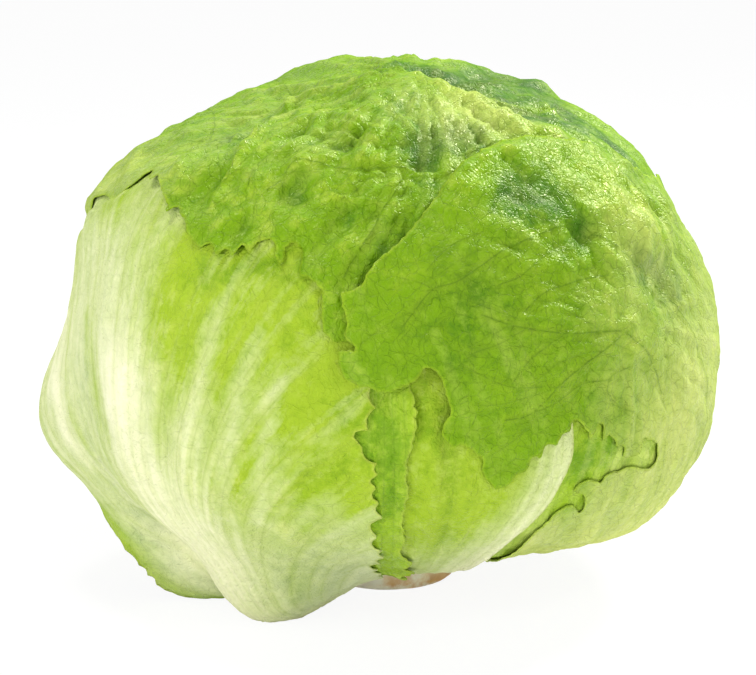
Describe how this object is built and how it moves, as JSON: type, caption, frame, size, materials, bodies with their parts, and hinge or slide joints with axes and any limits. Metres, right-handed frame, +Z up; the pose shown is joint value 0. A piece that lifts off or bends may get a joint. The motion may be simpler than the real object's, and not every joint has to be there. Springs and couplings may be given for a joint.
{
  "type": "iceberg lettuce",
  "caption": "Whole iceberg lettuce head standing on its cut stem, with loose wrapper leaves folded over a tight ball of nested inner leaves.",
  "frame": {"origin": "middle of the stem's cut face, on the surface that the head stands on", "axes": "+Z up through the crown, -Y the front, where the left and right wrapper leaves meet, and +X to the right of it"},
  "size_m": [0.1724, 0.1607, 0.1331],
  "materials": {
    "green_leaf": null,
    "pale_leaf": null,
    "frill_leaf": null,
    "inner_leaf": null,
    "cut_stem": null
  },
  "bodies": {
    "root": {"stem": "cut_stem", "heart": "inner_leaf", "inner_leaf_1": "inner_leaf", "inner_leaf_2": "inner_leaf", "inner_leaf_3": "inner_leaf", "inner_leaf_4": "inner_leaf", "inner_leaf_5": "inner_leaf", "inner_leaf_6": "inner_leaf", "inner_leaf_7": "inner_leaf", "inner_leaf_8": "inner_leaf", "inner_leaf_9": "inner_leaf", "inner_leaf_10": "inner_leaf", "wrapper_left": "pale_leaf", "wrapper_crown": "green_leaf", "wrapper_right": "green_leaf", "front_base_leaf": "pale_leaf", "front_frill_leaf": "frill_leaf", "front_inner_leaf": "frill_leaf", "back_left_leaf": "frill_leaf", "back_right_leaf": "frill_leaf"}
  },
  "joints": []
}
